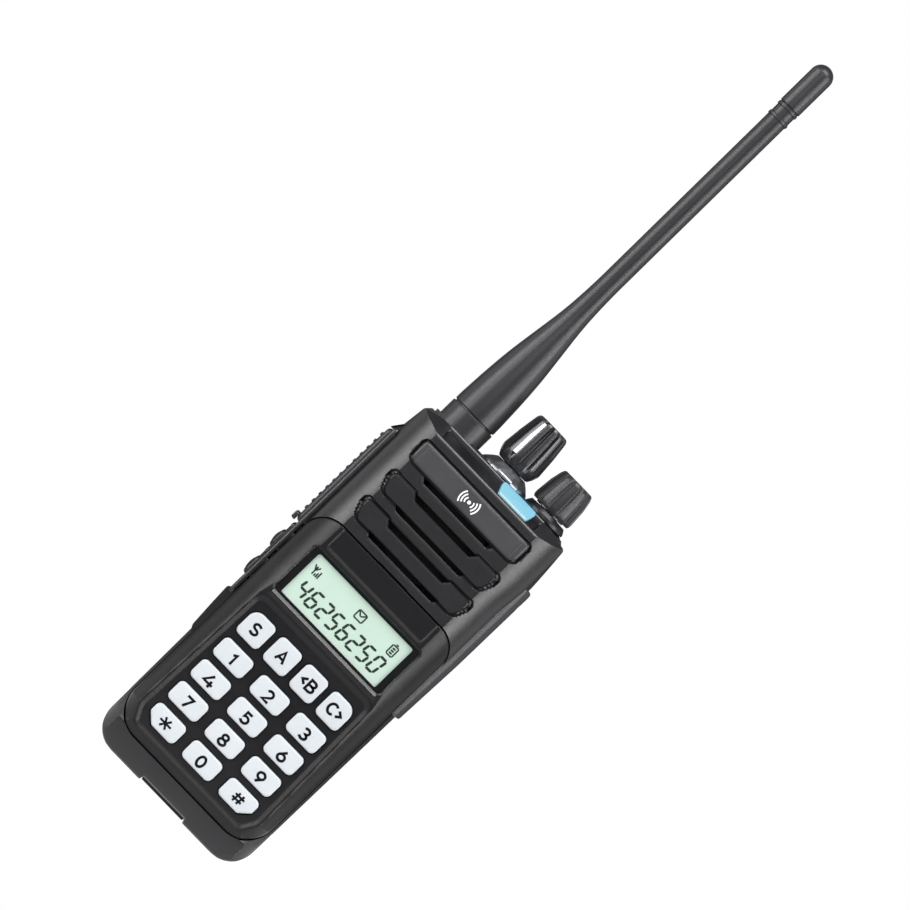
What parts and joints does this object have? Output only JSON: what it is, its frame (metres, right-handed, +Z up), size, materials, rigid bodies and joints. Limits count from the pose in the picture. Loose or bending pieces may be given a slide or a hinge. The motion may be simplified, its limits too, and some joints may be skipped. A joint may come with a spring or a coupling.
{
  "type": "two way radio",
  "caption": "Handheld two way radio with a whip antenna, top knobs, display, keypad, talk button, slide-off battery pack and a sprung belt clip.",
  "frame": {"origin": "on the resting surface, under the middle of the radio, with the belt clip counted in the depth", "axes": "+Z up along the antenna, -Y out of the front with the keys, +X to the right seen from the front"},
  "size_m": [0.058, 0.0433, 0.2596],
  "materials": {
    "case": "fine moulded texture, charcoal",
    "chassis": "black powder coat on die-cast metal",
    "dark_trim": "satin black",
    "battery_plastic": "fine moulded texture, black",
    "knob": "satin ribs with a slight gloss, white pointer line on the channel knob",
    "rubber": "matte charcoal rubber",
    "cloth": "black dust felt",
    "collar": "grey satin",
    "key_plastic": "translucent white, dark legends",
    "light": "clear sky blue",
    "window": "clear hard-coated lens",
    "display": "pale green reflective liquid crystal with dark segments",
    "steel": "plain bright metal",
    "brass": "gold-plated contacts",
    "board": "green solder mask",
    "cell_wrap": "blue shrink wrap"
  },
  "bodies": {
    "radio_body": {"front_case": "case", "keypad_panel": "case", "rear_chassis": "chassis", "case_gasket": "rubber", "name_plate": "dark_trim", "light_guide": "light", "antenna": "rubber", "antenna_connector": "brass", "channel_collar": "collar", "channel_selector": "steel", "volume_collar": "collar", "volume_control": "steel", "side_switch_board": "board", "accessory_cover": "dark_trim", "accessory_cover_screw": "steel", "accessory_jack": "dark_trim", "key_mat": "rubber", "keypad_board": "board", "display_window": "window", "display_module": "display", "main_board": "board", "speaker": "steel", "speaker_cloth": "cloth", "microphone": "steel", "terminal_block": "brass", "latch_spring": "steel", "clip_bracket": "steel", "clip_pin": "steel", "clip_spring": "steel", "clip_screw_left": "steel", "clip_screw_right": "steel", "case_screw_left": "steel", "case_screw_right": "steel"},
    "channel_knob": {"channel_knob": "knob"},
    "volume_knob": {"volume_knob": "knob"},
    "talk_button": {"talk_button": "rubber"},
    "side_key_upper": {"side_key_upper": "rubber"},
    "side_key_lower": {"side_key_lower": "rubber"},
    "battery_pack": {"battery_case": "battery_plastic", "battery_lid": "battery_plastic", "battery_cell": "cell_wrap", "battery_terminal": "brass"},
    "battery_latch": {"battery_latch": "dark_trim"},
    "belt_clip": {"belt_clip": "dark_trim"},
    "key_s": {"key_s": "key_plastic"},
    "key_a": {"key_a": "key_plastic"},
    "key_b": {"key_b": "key_plastic"},
    "key_c": {"key_c": "key_plastic"},
    "key_1": {"key_1": "key_plastic"},
    "key_2": {"key_2": "key_plastic"},
    "key_3": {"key_3": "key_plastic"},
    "key_4": {"key_4": "key_plastic"},
    "key_5": {"key_5": "key_plastic"},
    "key_6": {"key_6": "key_plastic"},
    "key_7": {"key_7": "key_plastic"},
    "key_8": {"key_8": "key_plastic"},
    "key_9": {"key_9": "key_plastic"},
    "key_star": {"key_star": "key_plastic"},
    "key_0": {"key_0": "key_plastic"},
    "key_hash": {"key_hash": "key_plastic"}
  },
  "joints": [
    {"name": "channel_turn", "type": "hinge", "parent": "radio_body", "child": "channel_knob", "pos_m": [0.0016, -0.0075, 0.13], "axis": [0, 0, 1], "range_deg": [-168.75, 168.75]},
    {"name": "volume_turn", "type": "hinge", "parent": "radio_body", "child": "volume_knob", "pos_m": [0.0167, -0.0075, 0.13], "axis": [0, 0, 1], "range_deg": [-150, 150]},
    {"name": "talk_press", "type": "slide", "parent": "radio_body", "child": "talk_button", "axis": [1, 0, 0], "range_m": [0, 0.001], "stiffness_N_per_m": 2500},
    {"name": "side_upper_press", "type": "slide", "parent": "radio_body", "child": "side_key_upper", "axis": [1, 0, 0], "range_m": [0, 0.0008], "stiffness_N_per_m": 2000},
    {"name": "side_lower_press", "type": "slide", "parent": "radio_body", "child": "side_key_lower", "axis": [1, 0, 0], "range_m": [0, 0.0008], "stiffness_N_per_m": 2000},
    {"name": "battery_slide", "type": "slide", "parent": "radio_body", "child": "battery_pack", "axis": [0, 0, -1], "range_m": [0, 0.09]},
    {"name": "latch_slide", "type": "slide", "parent": "radio_body", "child": "battery_latch", "axis": [0, -1, 0], "range_m": [0, 0.001], "stiffness_N_per_m": 800},
    {"name": "clip_swing", "type": "hinge", "parent": "radio_body", "child": "belt_clip", "pos_m": [0, 0.0145, 0.107], "axis": [1, 0, 0], "range_deg": [0, 20], "stiffness_Nm_per_rad": 1.2},
    {"name": "key_s_press", "type": "slide", "parent": "radio_body", "child": "key_s", "axis": [0, 1, 0], "range_m": [0, 0.0005], "stiffness_N_per_m": 1500},
    {"name": "key_a_press", "type": "slide", "parent": "radio_body", "child": "key_a", "axis": [0, 1, 0], "range_m": [0, 0.0005], "stiffness_N_per_m": 1500},
    {"name": "key_b_press", "type": "slide", "parent": "radio_body", "child": "key_b", "axis": [0, 1, 0], "range_m": [0, 0.0005], "stiffness_N_per_m": 1500},
    {"name": "key_c_press", "type": "slide", "parent": "radio_body", "child": "key_c", "axis": [0, 1, 0], "range_m": [0, 0.0005], "stiffness_N_per_m": 1500},
    {"name": "key_1_press", "type": "slide", "parent": "radio_body", "child": "key_1", "axis": [0, 1, 0], "range_m": [0, 0.0005], "stiffness_N_per_m": 1500},
    {"name": "key_2_press", "type": "slide", "parent": "radio_body", "child": "key_2", "axis": [0, 1, 0], "range_m": [0, 0.0005], "stiffness_N_per_m": 1500},
    {"name": "key_3_press", "type": "slide", "parent": "radio_body", "child": "key_3", "axis": [0, 1, 0], "range_m": [0, 0.0005], "stiffness_N_per_m": 1500},
    {"name": "key_4_press", "type": "slide", "parent": "radio_body", "child": "key_4", "axis": [0, 1, 0], "range_m": [0, 0.0005], "stiffness_N_per_m": 1500},
    {"name": "key_5_press", "type": "slide", "parent": "radio_body", "child": "key_5", "axis": [0, 1, 0], "range_m": [0, 0.0005], "stiffness_N_per_m": 1500},
    {"name": "key_6_press", "type": "slide", "parent": "radio_body", "child": "key_6", "axis": [0, 1, 0], "range_m": [0, 0.0005], "stiffness_N_per_m": 1500},
    {"name": "key_7_press", "type": "slide", "parent": "radio_body", "child": "key_7", "axis": [0, 1, 0], "range_m": [0, 0.0005], "stiffness_N_per_m": 1500},
    {"name": "key_8_press", "type": "slide", "parent": "radio_body", "child": "key_8", "axis": [0, 1, 0], "range_m": [0, 0.0005], "stiffness_N_per_m": 1500},
    {"name": "key_9_press", "type": "slide", "parent": "radio_body", "child": "key_9", "axis": [0, 1, 0], "range_m": [0, 0.0005], "stiffness_N_per_m": 1500},
    {"name": "key_star_press", "type": "slide", "parent": "radio_body", "child": "key_star", "axis": [0, 1, 0], "range_m": [0, 0.0005], "stiffness_N_per_m": 1500},
    {"name": "key_0_press", "type": "slide", "parent": "radio_body", "child": "key_0", "axis": [0, 1, 0], "range_m": [0, 0.0005], "stiffness_N_per_m": 1500},
    {"name": "key_hash_press", "type": "slide", "parent": "radio_body", "child": "key_hash", "axis": [0, 1, 0], "range_m": [0, 0.0005], "stiffness_N_per_m": 1500}
  ]
}
